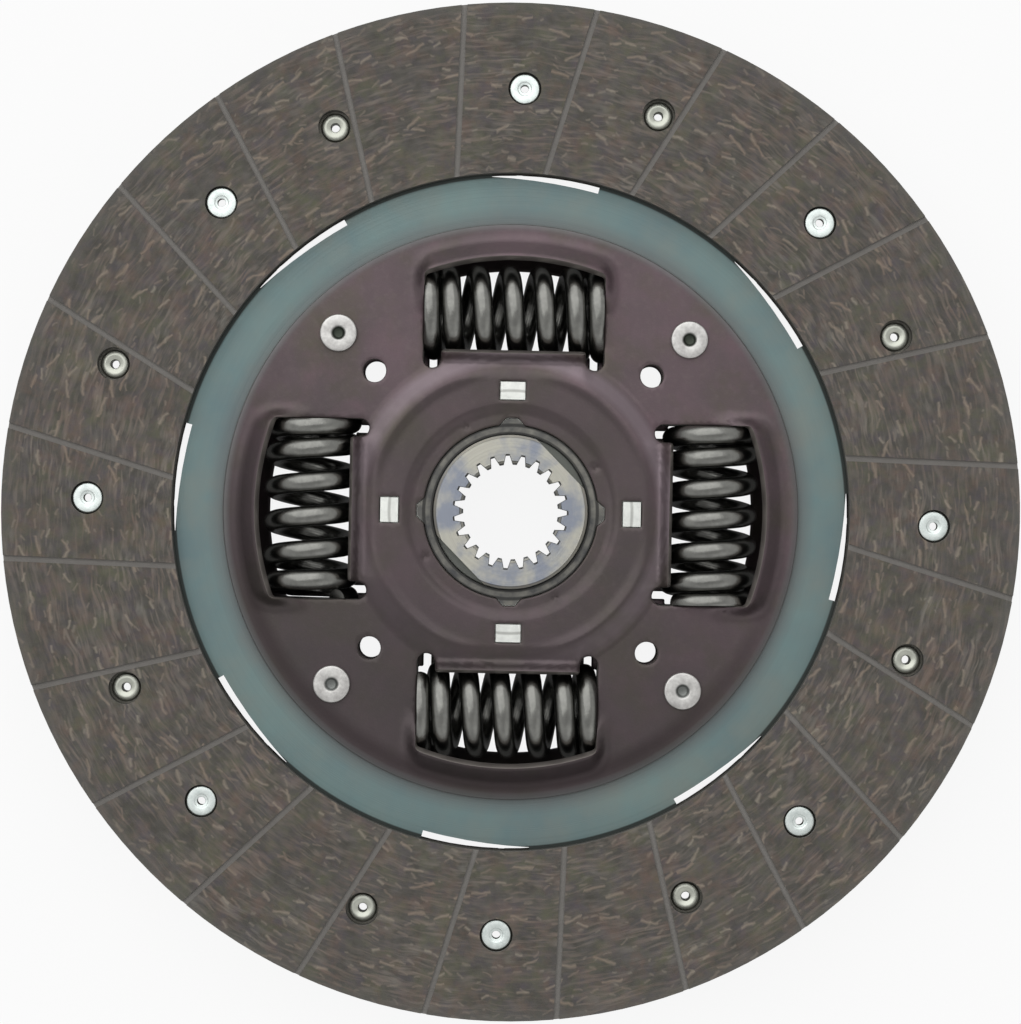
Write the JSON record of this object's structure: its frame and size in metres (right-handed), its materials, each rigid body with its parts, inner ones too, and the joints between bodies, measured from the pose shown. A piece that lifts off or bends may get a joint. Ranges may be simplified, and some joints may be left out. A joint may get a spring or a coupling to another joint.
{
  "type": "clutch disc",
  "caption": "Dry clutch disc: two grooved friction rings riveted to a sprung plate, with a coil spring torsion damper and a splined hub.",
  "frame": {"origin": "on the hub's axis, at the hub's rear end, the lowest face of the lying disc", "axes": "+Z along the hub's axis, out of the front face that the picture shows; the damper springs lie on +X, +Y, -X and -Y"},
  "size_m": [0.225, 0.225, 0.0262],
  "materials": {
    "friction_lining": "moulded organic friction lining with pale fibres, ground flat",
    "rivet_steel": "bright zinc-plated tubular rivets",
    "blued_steel": "hardened spring steel with a blue-green temper film",
    "phosphated_steel": "purple-brown heat-treated sheet, satin",
    "machined_hub": "turned and broached steel, satin",
    "spring_steel": "shot-peened dark spring wire, ground ends",
    "pin_steel": "plain steel, riveted over at both ends",
    "plated_steel": "light bright steel strip",
    "resin": "dark fibre-filled friction resin"
  },
  "bodies": {
    "disc": {"facing_front": "friction_lining", "facing_rear": "friction_lining", "facing_rivets_front": "rivet_steel", "facing_rivets_rear": "rivet_steel", "cushion_plate": "blued_steel", "cover_plate_front": "phosphated_steel", "cover_plate_rear": "phosphated_steel", "stop_pin_1": "pin_steel", "stop_pin_2": "pin_steel", "stop_pin_3": "pin_steel", "stop_pin_4": "pin_steel", "friction_washer_front": "resin", "friction_washer_rear": "resin", "thrust_plate": "plated_steel", "cone_spring": "plated_steel", "bush_front": "resin", "bush_rear": "resin"},
    "hub": {"hub": "machined_hub"},
    "springs": {"damper_spring_1": "spring_steel", "damper_spring_2": "spring_steel", "damper_spring_3": "spring_steel", "damper_spring_4": "spring_steel"}
  },
  "joints": [
    {"name": "hub_twist", "type": "hinge", "parent": "disc", "child": "hub", "pos_m": [0, 0, 0.0155], "axis": [0, 0, 1], "range_deg": [-8, 8], "stiffness_Nm_per_rad": 1200, "deforming": ["damper_spring_1", "damper_spring_2", "damper_spring_3", "damper_spring_4"]},
    {"name": "springs_follow", "type": "hinge", "parent": "disc", "child": "springs", "pos_m": [0, 0, 0.0155], "axis": [0, 0, 1], "range_deg": [-4, 4]}
  ],
  "couplings": [
    {"joint": "springs_follow", "follows": "hub_twist", "ratio": 0.5}
  ]
}
